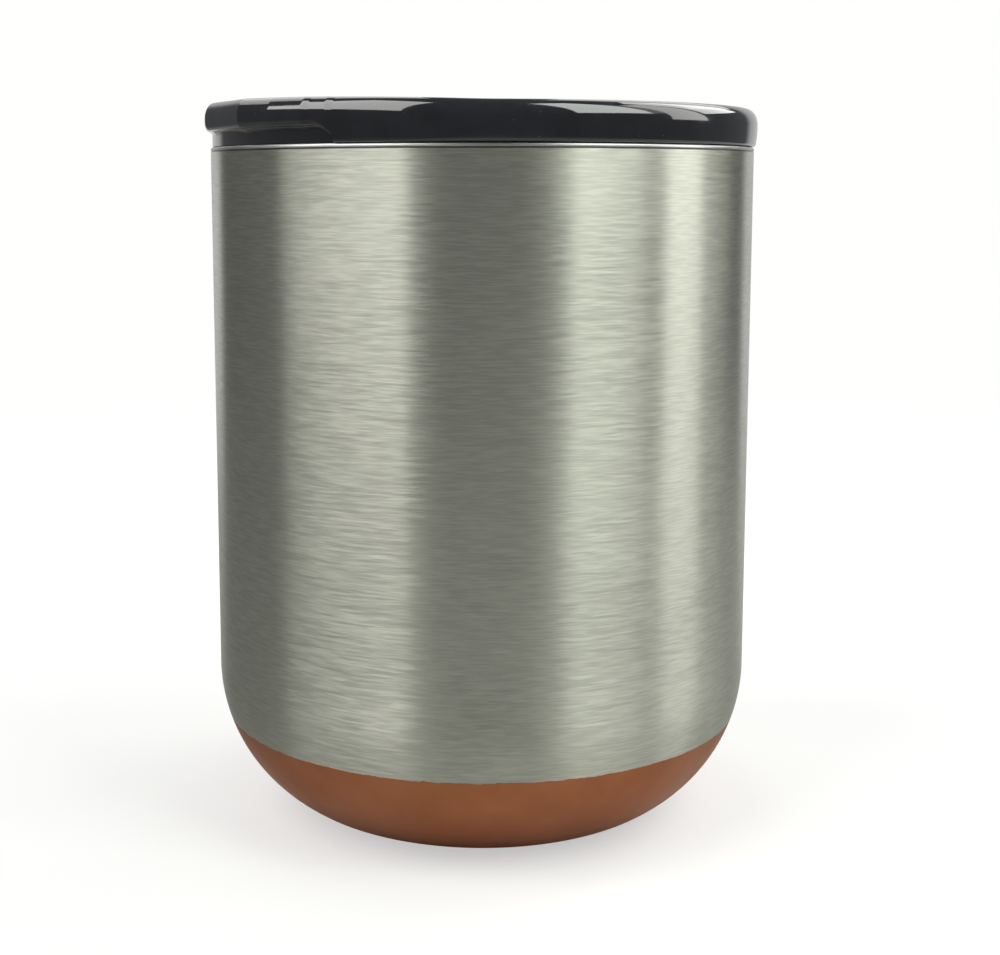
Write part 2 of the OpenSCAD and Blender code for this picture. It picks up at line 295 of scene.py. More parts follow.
def inside(spot, loop):
    """True if the spot lies inside the closed loop."""
    found = False
    for i in range(len(loop)):
        (x0, y0), (x1, y1) = loop[i - 1], loop[i]
        if (y0 > spot[1]) != (y1 > spot[1]) and spot[0] < x0 + (spot[1] - y0) * (x1 - x0) / (y1 - y0):
            found = not found
    return found


def slab(bm, outline, low, high, fillet, axis="z"):
    """A plate with rounded edges; axis is the direction of its thickness."""
    def place(point, level):
        if axis == "y":
            return (point[0], level, point[1])
        return (point[0], point[1], level)

    steps = 3
    rows = []
    for centre, start, end in ((low + fillet, -90, 0), (high - fillet, 0, 90)):
        for k in range(steps + 1):
            a = math.radians(start + (end - start) * k / steps)
            loop = offset(outline, -fillet * (1 - math.cos(a)))
            rows.append([place(point, centre + fillet * math.sin(a)) for point in loop])
    grid = add_rows(bm, rows)
    bm.faces.new(grid[0])
    bm.faces.new(grid[-1])


# ---------------------------------------------------------------- node materials

def add_node(tree, kind, **settings):
    node = tree.nodes.new(kind)
    for key, value in settings.items():
        setattr(node, key, value)
    return node


class Nodes:
    """A short way to write the node tree of one material."""

    def __init__(self, name):
        self.material = bpy.data.materials.new(name)
        self.material.use_nodes = True
        self.tree = self.material.node_tree
        self.tree.nodes.clear()
        self.shader = self.add("ShaderNodeBsdfPrincipled")
        output = self.add("ShaderNodeOutputMaterial")
        self.link(self.shader.outputs["BSDF"], output.inputs["Surface"])
        self.position = self.add("ShaderNodeTexCoord").outputs["Object"]

    def add(self, kind, **settings):
        return add_node(self.tree, kind, **settings)

    def link(self, source, target):
        self.tree.links.new(source, target)

    def put(self, value, socket):
        """Links an output or sets a plain value."""
        if isinstance(value, bpy.types.NodeSocket):
            self.link(value, socket)
        else:
            socket.default_value = value

    def shade(self, **values):
        """Sets or links the shader's sockets, named with _ for a space."""
        for key, value in values.items():
            self.put(value, self.shader.inputs[key.replace("_", " ")])

    def stretched(self, across, along, detail=2.0, roughness=0.5, shift=0.0):
        """Noise with its own number of features per metre across (x, y) and along (z)."""
        mapping = self.add("ShaderNodeMapping")
        mapping.inputs["Scale"].default_value = (across, across, along)
        mapping.inputs["Location"].default_value = (shift, shift, shift)
        self.link(self.position, mapping.inputs["Vector"])
        noise = self.add("ShaderNodeTexNoise")
        noise.inputs["Scale"].default_value = 1.0
        noise.inputs["Detail"].default_value = detail
        noise.inputs["Roughness"].default_value = roughness
        self.link(mapping.outputs["Vector"], noise.inputs["Vector"])
        return noise.outputs["Fac"]

    def noise(self, scale, detail=2.0, roughness=0.5, shift=0.0):
        """Noise with the same number of features per metre every way."""
        return self.stretched(scale, scale, detail, roughness, shift)

    def maths(self, operation, a, b=0.0, c=0.0):
        node = self.add("ShaderNodeMath", operation=operation)
        for value, socket in zip((a, b, c), node.inputs):
            self.put(value, socket)
        return node.outputs[0]

    def ramp(self, value, low, high, to_low=0.0, to_high=1.0):
        """Smooth step of a value between two limits."""
        node = self.add("ShaderNodeMapRange", interpolation_type="SMOOTHSTEP")
        limits = {"From Min": low, "From Max": high, "To Min": to_low, "To Max": to_high}
        for key, number in limits.items():
            self.put(number, node.inputs[key])
        self.put(value, node.inputs["Value"])
        return node.outputs["Result"]

    def mix(self, factor, a, b):
        """Mixes two colours."""
        node = self.add("ShaderNodeMix", data_type="RGBA")
        self.put(factor, node.inputs["Factor"])
        self.put(a, node.inputs[6])
        self.put(b, node.inputs[7])
        return node.outputs[2]

    def bump(self, height, distance, below=None):
        """Normals bent by a height from 0 to 1 times a distance, over the bump below it."""
        node = self.add("ShaderNodeBump")
        node.inputs["Distance"].default_value = distance
        self.link(height, node.inputs["Height"])
        if below is not None:
            self.link(below, node.inputs["Normal"])
        return node.outputs["Normal"]

    def spots(self, scale, size, share):
        """1 inside small round spots, scattered in a share of the cells."""
        cells = self.add("ShaderNodeTexVoronoi")
        cells.inputs["Scale"].default_value = scale
        self.link(self.position, cells.inputs["Vector"])
        split = self.add("ShaderNodeSeparateColor")
        self.link(cells.outputs["Color"], split.inputs["Color"])
        near = self.ramp(cells.outputs["Distance"], size * 0.7, size, 1.0, 0.0)
        chosen = self.maths("LESS_THAN", split.outputs[0], share)
        return self.maths("MULTIPLY", near, chosen)

    def height(self):
        """Height above the foot."""
        split = self.add("ShaderNodeSeparateXYZ")
        self.link(self.position, split.inputs["Vector"])
        return split.outputs["Z"]

    def brush_round(self, anisotropy):
        """Highlights stretched up and down, as brushing round the axis makes them."""
        self.shade(Anisotropic=anisotropy, Anisotropic_Rotation=0.25)
        tangent = self.add("ShaderNodeTangent", direction_type="RADIAL", axis="Z")
        self.link(tangent.outputs["Tangent"], self.shader.inputs["Tangent"])


def rgb(r, g, b):
    return (r, g, b, 1.0)


STEEL_DARK = rgb(0.545, 0.555, 0.487)
STEEL_PALE = rgb(0.655, 0.665, 0.583)
COPPER_DARK = rgb(0.47, 0.17, 0.078)
COPPER_PALE = rgb(0.55, 0.215, 0.105)
# Near black, painted as shade in the groove of the seam under the lip
SEAM_PAINTED_SHADE = rgb(0.06, 0.06, 0.055)
PIT_SHADE = rgb(0.03, 0.03, 0.03)


def brush_lines(n):
    """Fine brushing round the axis, and the broader streaks in it."""
    fine = n.stretched(260, 4400, detail=1.0, roughness=0.6)
    streaks = n.stretched(140, 2600, detail=2.0, roughness=0.6, shift=3.0)
    return n.maths("ADD", n.maths("MULTIPLY", fine, 0.75), n.maths("MULTIPLY", streaks, 0.25)), streaks


def brushed_steel(n, lines, streaks, roughness):
    """Colour and roughness of the wall, with painted shade in the groove of the seam under the lip."""
    broad = n.stretched(14, 110, detail=2.0, shift=7.0)
    tone = n.maths("ADD", n.maths("MULTIPLY", lines, 0.95), n.maths("MULTIPLY", broad, 0.05))
    steel = n.mix(n.ramp(tone, 0.38, 0.64), STEEL_DARK, STEEL_PALE)
    # painted shade: the colour goes near black in the groove of the seam under the lip
    seam = n.ramp(n.height(), SEAM_Z - 0.22 * MM, SEAM_Z - 0.10 * MM)
    cloud = n.noise(35, detail=3.0, shift=11.0)
    uneven = n.maths("ADD", streaks, n.maths("MULTIPLY", cloud, 0.5))
    return n.mix(seam, steel, SEAM_PAINTED_SHADE), n.ramp(uneven, 0.5, 1.0, roughness - 0.04, roughness + 0.06)


def satin_copper(n, roughness):
    """Colour and roughness of the plating, a little stained."""
    stain = n.noise(55, detail=4.0, roughness=0.6, shift=1.0)
    colour = n.mix(n.ramp(stain, 0.3, 0.7), COPPER_DARK, COPPER_PALE)
    return colour, n.ramp(stain, 0.3, 0.7, roughness + 0.04, roughness - 0.04)


def above_copper(n):
    """Height above the ragged edge of the plating, which creeps up further in a few places."""
    ragged = n.maths("ADD", n.noise(420, detail=3.0, shift=2.0), n.maths("MULTIPLY", n.noise(1500), 0.35))
    edge = n.maths("MULTIPLY_ADD", ragged, 0.55 * MM, COPPER_Z - 0.37 * MM)
    creep = n.maths("MULTIPLY", n.ramp(n.noise(240, detail=2.0, shift=9.0), 0.66, 0.74), 0.5 * MM)
    return n.maths("SUBTRACT", n.height(), n.maths("ADD", edge, creep))


def plating_pits(n, above):
    """Small dark specks, most of them just above the copper."""
    zone = n.maths("MULTIPLY", n.ramp(above, 0.0, 0.1 * MM), n.ramp(above, 0.5 * MM, 2.6 * MM, 1.0, 0.0))
    stray = n.maths("MULTIPLY", n.spots(90, 0.05, 0.3), 0.8)
    return n.maths("MULTIPLY", n.spots(850, 0.09, 0.22), n.maths("ADD", zone, stray))


def plated_metal(name, anisotropy, roughness_steel, roughness_copper):
    """Brushed steel above the copper line and satin copper below it, with a ragged edge between."""
    n = Nodes(name)
    lines, streaks = brush_lines(n)
    steel, steel_rough = brushed_steel(n, lines, streaks, roughness_steel)
    copper, copper_rough = satin_copper(n, roughness_copper)
    above = above_copper(n)
    is_steel = n.ramp(above, -0.02 * MM, 0.05 * MM)
    is_copper = n.maths("SUBTRACT", 1.0, is_steel)

    colour = n.mix(is_steel, copper, steel)
    colour = n.mix(n.maths("MULTIPLY", plating_pits(n, above), 0.85), colour, PIT_SHADE)
    rough = n.maths("ADD", n.maths("MULTIPLY", is_steel, steel_rough),
                    n.maths("MULTIPLY", is_copper, copper_rough))
    grain = n.noise(5200, detail=1.0, shift=5.0)
    normal = n.bump(n.maths("MULTIPLY", lines, is_steel), 0.008 * MM)
    normal = n.bump(n.maths("MULTIPLY", grain, is_copper), 0.004 * MM, below=normal)
    normal = n.bump(is_copper, 0.03 * MM, below=normal)
    n.shade(Base_Color=colour, Metallic=1.0, Roughness=rough, Normal=normal)
    n.brush_round(anisotropy)
    return n.material


def satin_steel():
    """Spun and electropolished steel, for the inner cup, the disc underneath and the getter's strap."""
    n = Nodes("satin_steel")
    rings = n.stretched(90, 1800, detail=2.0, roughness=0.6)
    cloud = n.noise(60, detail=4.0, roughness=0.6, shift=4.0)
    colour = n.mix(n.ramp(cloud, 0.3, 0.7), rgb(0.58, 0.58, 0.56), rgb(0.68, 0.68, 0.65))
    grain = n.maths("ADD", rings, n.maths("MULTIPLY", n.noise(2600, detail=1.0), 0.4))
    n.shade(Base_Color=colour, Metallic=1.0, Roughness=n.ramp(cloud, 0.3, 0.7, 0.36, 0.40))
    n.shade(Normal=n.bump(grain, 0.004 * MM))
    n.brush_round(0.45)
    return n.material


def gloss_plastic(name, colour_low, colour_high, roughness):
    """Moulded plastic with faint flow waves, dust specks and fine rub marks."""
    n = Nodes(name)
    wave = n.noise(120, detail=2.0)
    haze = n.noise(260, detail=4.0, roughness=0.65, shift=3.0)
    dust = n.spots(1400, 0.10, 0.10)
    rubs = n.ramp(n.stretched(1900, 160, detail=1.0, shift=8.0), 0.70, 0.76)
    colour = n.mix(n.ramp(haze, 0.35, 0.65), colour_low, colour_high)
    colour = n.mix(n.maths("MULTIPLY", dust, 0.5), colour, rgb(0.25, 0.25, 0.24))
    rough = n.ramp(haze, 0.3, 0.75, roughness, roughness + 0.08)
    rough = n.maths("ADD", rough, n.maths("MULTIPLY", n.maths("MAXIMUM", dust, rubs), 0.12))
    n.shade(Base_Color=colour, Roughness=rough, IOR=1.58)
    n.shade(Coat_Weight=0.8, Coat_Roughness=0.03, Coat_IOR=1.5)
    normal = n.bump(wave, 0.05 * MM)
    n.shade(Normal=n.bump(n.noise(3000, detail=1.0, shift=6.0), 0.0010 * MM, below=normal))
    return n.material


def silicone():
    """Matte silicone with a faint bloom of dust."""
    n = Nodes("silicone")
    bloom = n.noise(300, detail=4.0, roughness=0.6)
    colour = n.mix(n.ramp(bloom, 0.35, 0.7), rgb(0.030, 0.030, 0.033), rgb(0.055, 0.055, 0.058))
    n.shade(Base_Color=colour, Roughness=n.ramp(bloom, 0.3, 0.7, 0.48, 0.62), IOR=1.42)
    n.shade(Normal=n.bump(n.noise(2500, detail=2.0), 0.01 * MM), Sheen_Weight=0.15)
    return n.material


def solder_glass():
    """Dark fused glass."""
    n = Nodes("solder_glass")
    swirl = n.noise(900, detail=3.0)
    colour = n.mix(n.ramp(swirl, 0.3, 0.7), rgb(0.06, 0.065, 0.06), rgb(0.14, 0.15, 0.14))
    n.shade(Base_Color=colour, Roughness=n.ramp(swirl, 0.3, 0.7, 0.10, 0.25), IOR=1.6)
    n.shade(Normal=n.bump(swirl, 0.05 * MM))
    return n.material


def sintered():
    """Pressed and sintered getter powder."""
    n = Nodes("sintered_getter")
    grain = n.noise(4200, detail=3.0, roughness=0.7)
    colour = n.mix(n.ramp(grain, 0.35, 0.65), rgb(0.10, 0.10, 0.105), rgb(0.26, 0.26, 0.27))
    n.shade(Base_Color=colour, Metallic=0.7, Roughness=n.ramp(grain, 0.3, 0.7, 0.75, 0.55))
    n.shade(Normal=n.bump(grain, 0.10 * MM))
    return n.material


def copper_foil():
    """Bright rolled foil with soft creases."""
    n = Nodes("copper_foil")
    crease = n.stretched(70, 45, detail=3.0, roughness=0.6)
    rolled = n.stretched(40, 1600, detail=1.0, shift=2.0)
    colour = n.mix(n.ramp(crease, 0.3, 0.7), rgb(0.72, 0.36, 0.24), rgb(0.86, 0.48, 0.34))
    n.shade(Base_Color=colour, Metallic=1.0, Roughness=n.ramp(crease, 0.3, 0.7, 0.16, 0.30))
    n.shade(Normal=n.bump(rolled, 0.01 * MM, below=n.bump(crease, 0.5 * MM)))
    return n.material


WALL_STEEL = plated_metal("brushed_wall", 1.0, 0.335, 0.40)
BASE_COPPER = plated_metal("copper_plating", 0.35, 0.38, 0.42)
SATIN = satin_steel()
LID_PLASTIC = gloss_plastic("lid_plastic", rgb(0.011, 0.012, 0.016), rgb(0.015, 0.016, 0.021), 0.05)
CLIP_PLASTIC = gloss_plastic("retainer_plastic", rgb(0.016, 0.016, 0.018), rgb(0.024, 0.024, 0.027), 0.40)
SILICONE = silicone()


# ---------------------------------------------------------------- cup

def bowl(body_r, foot_r, shoulder_r, foot_z):
    """Centre and radius of the small curve at the foot, and centre of the large curve above it."""
    lean = math.radians(BLEND_ANGLE)
    toe_r = (body_r - foot_r - shoulder_r * (1 - math.sin(lean))) / math.sin(lean)
    shoulder_z = foot_z + toe_r * (1 - math.cos(lean)) + shoulder_r * math.cos(lean)
    return (foot_r, foot_z + toe_r), toe_r, (body_r - shoulder_r, shoulder_z)


TOE_C, TOE_R, SHOULDER_C = bowl(BODY_R, FOOT_R, SHOULDER_R, 0.0)
JOINT_ANGLE = -math.degrees(math.asin((SHOULDER_C[1] - COPPER_Z) / SHOULDER_R))
BLEND_TURN = BLEND_ANGLE - 90


def make_wall():
    """Outer wall, from the copper line up to the seam under the lip."""
    straight = SEAM_Z - SEAM_CUT - SHOULDER_C[1]
    bands = 12
    profile = arc(SHOULDER_C, SHOULDER_R, JOINT_ANGLE, 0, 16)
    profile += [(BODY_R, SHOULDER_C[1] + straight * i / bands) for i in range(1, bands + 1)]
    profile += [(BODY_R - SEAM_CUT, SEAM_Z), (BODY_R - WALL_T, SEAM_Z)]
    profile += arc(SHOULDER_C, SHOULDER_R - WALL_T, 0, JOINT_ANGLE, 12)
    bm = bmesh.new()
    lathe(bm, profile, 256)
    finish_mesh("steel_wall", bm, "cup", "outer_shell", WALL_STEEL)


def make_base():
    """Rounded copper bottom with its foot, the recess under it and the evacuation hole."""
    inner_r = FOOT_R - FOOT_W
    recess_r = inner_r - RECESS_RUN
    hole_r = 1.0 * MM
    flat_r = FOOT_R - 0.2 * MM
    shift = 0.2 * MM  # corners of the upper side lie this far outside those of the lower side
    dimple_foot_r = DIMPLE_R + DIMPLE_RUN
    profile = arc(SHOULDER_C, SHOULDER_R, JOINT_ANGLE, BLEND_TURN, 14)
    profile += arc(TOE_C, TOE_R, BLEND_TURN, -90, 16)[1:]
    profile += rounded([
        (flat_r, 0.0, 0.0),
        (inner_r, 0.0, 0.5 * MM),
        (recess_r, RECESS_H, 0.5 * MM),
        (dimple_foot_r, RECESS_H, 0.5 * MM),
        (DIMPLE_R, DIMPLE_Z, 0.4 * MM),
        (hole_r, DIMPLE_Z, 0.15 * MM),
        (hole_r, DIMPLE_Z + WALL_T, 0.0),
        (DIMPLE_R + shift, DIMPLE_Z + WALL_T, 0.4 * MM),
        (dimple_foot_r + shift, RECESS_H + WALL_T, 0.4 * MM),
        (recess_r + shift, RECESS_H + WALL_T, 0.4 * MM),
        (inner_r + shift, WALL_T, 0.4 * MM),
        (flat_r, WALL_T, 0.0),
    ])
    profile += arc(TOE_C, TOE_R - WALL_T, -90, BLEND_TURN, 12)
    profile += arc(SHOULDER_C, SHOULDER_R - WALL_T, BLEND_TURN, JOINT_ANGLE, 10)[1:]
    bm = bmesh.new()
    lathe(bm, profile, 256)
    finish_mesh("copper_bowl", bm, "cup", "copper_base", BASE_COPPER)


def make_liner():
    """Inner cup, with the wider throat for the lid and the lip folded out over the outer wall."""
    shoulder_r = SHOULDER_R - 2.9 * MM
    toe_c, toe_r, shoulder_c = bowl(LINER_R, FOOT_R - 2.2 * MM, shoulder_r, FLOOR_Z)
    slope_z = THROAT_Z - SLOPE_H
    outside = [(0.0, FLOOR_Z)]
    outside += arc(toe_c, toe_r, -90, BLEND_TURN, 10)
    outside += arc(shoulder_c, shoulder_r, BLEND_TURN, 0, 14)[1:]
    outside += [(LINER_R, slope_z), (THROAT_R + WALL_T, THROAT_Z), (THROAT_R + WALL_T, LIP_Z - WALL_T)]
    outside += [(BODY_R - WALL_T, LIP_Z - WALL_T), (BODY_R - WALL_T, SEAM_Z)]
    outside += [(BODY_R - SEAM_CUT, SEAM_Z), (BODY_R, SEAM_Z + SEAM_CUT)]
    outside += arc((BODY_R - LIP_ROUND, LIP_Z - LIP_ROUND), LIP_ROUND, 0, 90, 5)
    wet_r = LINER_R - WALL_T
    wet_side = arc((THROAT_R + LIP_ROLL, LIP_Z - LIP_ROLL), LIP_ROLL, 90, 180, 6)
    wet_side += [(THROAT_R, THROAT_Z + 0.6 * MM), (THROAT_R - 0.1 * MM, THROAT_Z)]
    wet_side += [(wet_r + 0.1 * MM, slope_z + 0.2 * MM), (wet_r, slope_z - 0.5 * MM)]
    wet_side += arc(shoulder_c, shoulder_r - WALL_T, 0, BLEND_TURN, 14)
    wet_side += arc(toe_c, toe_r - WALL_T, BLEND_TURN, -90, 10)[1:]
    wet_side += [(0.0, FLOOR_Z + WALL_T)]
    bm = bmesh.new()
    lathe(bm, outside + wet_side, 192, closed=False)
    finish_mesh("inner_liner", bm, "cup", "inner_cup", SATIN)


def make_base_cover():
    """Pressed disc with a rolled edge and two shallow rings."""
    low = bottom_of("base_cover")
    high = top_of("base_cover")
    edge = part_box("base_cover")[1][0]
    ring_h = 0.12 * MM
    ring_w = 0.5 * MM
    roll = 0.2 * MM
    bevel = 0.05 * MM
    profile = [(0.0, low + ring_h)]
    for radius in (edge * 0.42, edge * 0.80):
        profile += [(radius - ring_w, low + ring_h), (radius, low), (radius + ring_w, low + ring_h)]
    profile += arc((edge - roll, low + roll), roll, -90, 0, 4)
    profile += [(edge, high - bevel), (edge - bevel, high), (0.0, high)]
    bm = bmesh.new()
    lathe(bm, profile, 160, closed=False)
    finish_mesh("base_disc", bm, "cup", "base_cover", SATIN)


def make_seal_bead():
    """Melted bead: a stem in the evacuation hole and a flat cap under it, in the dimple."""
    low = bottom_of("vacuum_seal_bead")
    high = top_of("vacuum_seal_bead")
    stem_r = 0.95 * MM
    bead = [(0.0, low + 0.02 * MM), (0.9 * MM, low), (1.6 * MM, low + 0.08 * MM)]
    bead += [(2.1 * MM, low + 0.3 * MM), (2.35 * MM, DIMPLE_Z - 0.1 * MM)]
    bead += [(2.3 * MM, DIMPLE_Z), (stem_r, DIMPLE_Z)]
    bead += [(stem_r, high - 0.15 * MM), (0.7 * MM, high), (0.0, high)]
    bm = bmesh.new()
    lathe(bm, bead, 48, closed=False)
    finish_mesh("seal_bead", bm, "cup", "vacuum_seal_bead", solder_glass())


def getter_place():
    """The x of the getter's middle, and the getter's radius, a hair less than in its box."""
    low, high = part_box("getter_pellet")
    return (low[0] + high[0]) / 2, (high[1] - low[1]) / 2 - 0.01 * MM


def make_getter():
    centre, radius = getter_place()
    low = bottom_of("getter_pellet")
    high = top_of("getter_pellet")
    rim = 0.3 * MM
    bm = bmesh.new()
    lathe(bm, rounded([(0.0, low, 0.0), (radius, low, rim), (radius, high, rim), (0.0, high, 0.0)]), 64,
          closed=False)
    bmesh.ops.translate(bm, verts=bm.verts, vec=(centre, 0.0, 0.0))
    finish_mesh("getter", bm, "cup", "getter_pellet", sintered())


def make_getter_strap():
    """Strap bent under the getter, with a foot at each end against the floor of the inner cup."""
    (back, side, low), (front, other_side, high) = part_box("getter_clip")
    centre, radius = getter_place()
    gauge = 0.4 * MM
    bend = 0.15 * MM
    reach = radius + 0.2 * MM
    outer = reach + gauge
    strap = [
        (back, high, 0.0), (centre - reach, high, bend),
        (centre - reach, low + gauge, bend), (centre + reach, low + gauge, bend),
        (centre + reach, high, bend), (front, high, 0.0),
        (front, high - gauge, 0.0), (centre + outer, high - gauge, bend),
        (centre + outer, low, bend), (centre - outer, low, bend),
        (centre - outer, high - gauge, bend), (back, high - gauge, 0.0),
    ]
    bm = bmesh.new()
    slab(bm, rounded(strap), side, other_side, 0.05 * MM, axis="y")
    finish_mesh("getter_strap", bm, "cup", "getter_clip", SATIN)


def make_foil():
    """Sleeve of thin foil round the inner cup."""
    low = bottom_of("radiation_foil")
    high = top_of("radiation_foil")
    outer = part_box("radiation_foil")[1][0]
    bands = 24
    up = [(outer, low + (high - low) * i / bands) for i in range(bands + 1)]
    down = [(LINER_R + 0.02 * MM, z) for _, z in reversed(up)]
    bm = bmesh.new()
    lathe(bm, up + down, 160)
    finish_mesh("heat_foil", bm, "cup", "radiation_foil", copper_foil())


# ---------------------------------------------------------------- lid

def tab_line(a, b, turn):
    """Distance from the axis, at an angle, of the straight line between two polar points."""
    (ra, ta), (rb, tb) = a, b
    start = Vector((ra * math.cos(math.radians(ta)), ra * math.sin(math.radians(ta))))
    end = Vector((rb * math.cos(math.radians(tb)), rb * math.sin(math.radians(tb))))
    along = end - start
    ray = Vector((math.cos(math.radians(turn)), math.sin(math.radians(turn))))
    return (start.x * along.y - start.y * along.x) / (ray.x * along.y - ray.y * along.x)


def sharp_rim(turn):
    """Outer radius of the rim at an angle from the middle of the tab, with sharp corners."""
    for near, far in zip(TAB_CORNERS, TAB_CORNERS[1:]):
        if abs(turn) < far[1]:
            return tab_line(far, near, abs(turn))
    return RIM_R


def rim_radius(turn):
    """Outer radius of the rim, its corners rounded by averaging over a small angle."""
    half = 4
    samples = [sharp_rim(turn + CORNER_SPREAD * k / half) for k in range(-half, half + 1)]
    return sum(samples) / len(samples)


def rim_turns():
    """Angles of the columns: even round the rim, closer at the tab's corners and the notch's ends."""
    even = set(range(-180, 180))
    corners = [side * corner for _, corner in TAB_CORNERS[1:] for side in (-1, 1)]
    at_corners = {round(corner + k * CORNER_SPREAD / 2, 3) for corner in corners for k in range(-4, 5)}
    notch_start, notch_step, notch_count = 27.6, 0.2, 34
    at_notch = {round(notch_start + k * notch_step, 3) for k in range(notch_count)}
    return sorted(even | at_corners | at_notch | {-turn for turn in at_notch})


def barrel(z):
    """How far the rim's wall stands in from its widest line at height z."""
    drop = RIM_R - RIM_FOOT_R
    rise = FILLET_Z - RIM_Z - RIM_EDGE
    curve = drop / 2 + rise * rise / (2 * drop)
    below = max(0.0, FILLET_Z - z)
    return curve - math.sqrt(max(0.0, curve * curve - below * below))


def climb(radius, turn, z):
    """How far the rim's top rises towards the tab, less and less for points lower on the rim."""
    ahead = radius * math.cos(math.radians(turn)) - CLIMB_START
    if ahead <= 0.0:
        return 0.0
    rise = ahead * ahead / (2 * CLIMB_BEND) if ahead < CLIMB_BEND else ahead - CLIMB_BEND / 2
    share = min(1.0, max(0.0, (z - TAB_Z) / (FILLET_Z - TAB_Z)))
    return CLIMB_SLOPE * rise * share


def notch_top(radius, turn):
    """Height of the roof of the finger notch, or of the rim's lower edge outside it."""
    across = abs(radius * math.sin(math.radians(turn))) - NOTCH_FLAT
    if abs(turn) > 90 or across >= NOTCH_END:
        return RIM_Z
    share = max(0.0, across) / NOTCH_END
    return RIM_Z + (TAB_Z - RIM_Z) * math.sqrt(1.0 - share * share)


def rim_column(turn):
    """Profile of the lid's rim at one angle, from the plug up over the rim and down to the deck."""
    outer = rim_radius(turn)
    roof = notch_top(outer, turn)
    lifted = (roof - RIM_Z) / (TAB_Z - RIM_Z)
    most_edge = 0.7 * (FILLET_Z - roof)
    edge = min(RIM_EDGE + lifted * (TAB_EDGE - RIM_EDGE), most_edge)
    foot = outer - barrel(roof + edge)
    cove = max(0.0, min(COVE_R, roof - RIM_Z, foot - edge - COLLAR_R))
    profile = [(PLUG_R, RIM_Z), (COLLAR_R, RIM_Z)]
    profile += arc((COLLAR_R + cove, roof - cove), cove, 180, 90, 6)
    profile += arc((foot - edge, roof + edge), edge, -90, 0, 5)
    bands = 7
    for k in range(1, bands):
        z = roof + edge + (FILLET_Z - roof - edge) * k / bands
        profile.append((outer - barrel(z), z))
    profile += oval((outer - RIM_ROUND, FILLET_Z), (RIM_ROUND, RIM_ROUND_H), 0, 90, 14)
    profile += arc((DISH_TOP_R, LID_TOP - DISH_EDGE), DISH_EDGE, 90, 160, 5)
    profile += arc((DISH_R - DISH_ROUND, DECK_Z + DISH_ROUND), DISH_ROUND, -20, -90, 6)
    return [(radius, z + climb(radius, turn, z)) for radius, z in profile]


def plug_profile():
    """From the deck's underside down the inside of the plug, round its foot and up past the groove."""
    groove_low = PLUG_Z + 2.1 * MM
    groove_high = PLUG_Z + 5.9 * MM
    under = DECK_Z - DECK_T
    bend = 0.5 * MM
    foot_in = 0.3 * MM
    foot_out = 0.6 * MM
    profile = [(PLUG_IN_R - 2 * bend, under)]
    profile += arc((PLUG_IN_R - bend, under - bend), bend, 90, 0, 4)
    profile += arc((PLUG_IN_R + foot_in, PLUG_Z + foot_in), foot_in, 180, 270, 3)
    profile += arc((PLUG_R - foot_out, PLUG_Z + foot_out), foot_out, -90, 0, 4)
    profile += [(PLUG_R, groove_low), (GROOVE_R, groove_low)]
    profile += [(GROOVE_R, groove_high), (PLUG_R, groove_high)]
    return profile


def deck_holes(grow):
    """Drinking hole, slot of the slider's stem and vent, each grown by a small amount."""
    slot_low = STEM_X - STEM[0] / 2 - TRAVEL - SLOT_CLEAR
    slot_high = STEM_X + STEM[0] / 2 + SLOT_CLEAR
    slot_mid = (slot_low + slot_high) / 2
    sip = (SIP_W + 2 * grow, SIP_L + 2 * grow)
    slot = (slot_high - slot_low + 2 * grow, STEM[1] + 2 * SLOT_CLEAR + 2 * grow)
    vent = 2 * (VENT_R + grow)
    return [
        rectangle(SIP_X, 0.0, sip[0], sip[1], sip[0] / 2),
        rectangle(slot_mid, 0.0, slot[0], slot[1], 0.3 * MM + grow),
        rectangle(VENT_X, 0.0, vent, vent, vent / 2),
    ]


def at_turn(turn, radius, z):
    """The point at an angle from the middle of the tab."""
    a = math.radians(180 - turn)
    return (radius * math.cos(a), radius * math.sin(a), z)


def lid_rows():
    """Rows of points round the lid: down inside the plug, up over the rim and down to the deck."""
    turns = rim_turns()
    columns = [plug_profile() + rim_column(turn) for turn in turns]
    return [[at_turn(turn, *point) for turn, point in zip(turns, level)] for level in zip(*columns)]


def add_deck(bm, under_edge, top_edge):
    """Both faces of the deck inside the edges given, and the walls of its holes with rounded ends."""
    fillet = 0.4 * MM
    under = DECK_Z - DECK_T
    levels = [(fillet * (1 - math.sin(a)), DECK_Z - fillet * (1 - math.cos(a)))
              for a in [math.radians(22.5 * k) for k in range(5)]]
    levels += [(grow, under + DECK_Z - z) for grow, z in reversed(levels)]
    loops = [deck_holes(grow) for grow, _ in levels]
    for hole in range(len(loops[0])):
        add_rows(bm, [[(x, y, z) for x, y in loop[hole]] for loop, (_, z) in zip(loops, levels)])
    fill(bm, [point[:2] for point in top_edge], loops[0], DECK_Z)
    fill(bm, [point[:2] for point in under_edge], loops[-1], under)


def add_rails(bm):
    """The raised guide of the slider: two rails joined behind it."""
    low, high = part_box("slider")
    inner = high[1] + SLOT_CLEAR
    outer = inner + RAIL_T
    front = RAIL_FRONT_X
    back = low[0] - TRAVEL - 0.6 * MM
    end_round = 0.5 * MM
    outline = [
        (back - RAIL_T, -outer, 2 * end_round), (front, -outer, end_round),
        (front, -inner, end_round), (back, -inner, 0.2 * MM),
        (back, inner, 0.2 * MM), (front, inner, end_round),
        (front, outer, end_round), (back - RAIL_T, outer, 2 * end_round),
    ]
    slab(bm, rounded(outline), DECK_Z - 0.5 * MM, DECK_Z + RAIL_H, 0.3 * MM)


def make_lid():
    rows = lid_rows()
    bm = bmesh.new()
    add_rows(bm, rows)
    add_deck(bm, rows[0], rows[-1])
    add_rails(bm)
    finish_mesh("lid_shell", bm, "lid", "lid_body", LID_PLASTIC)


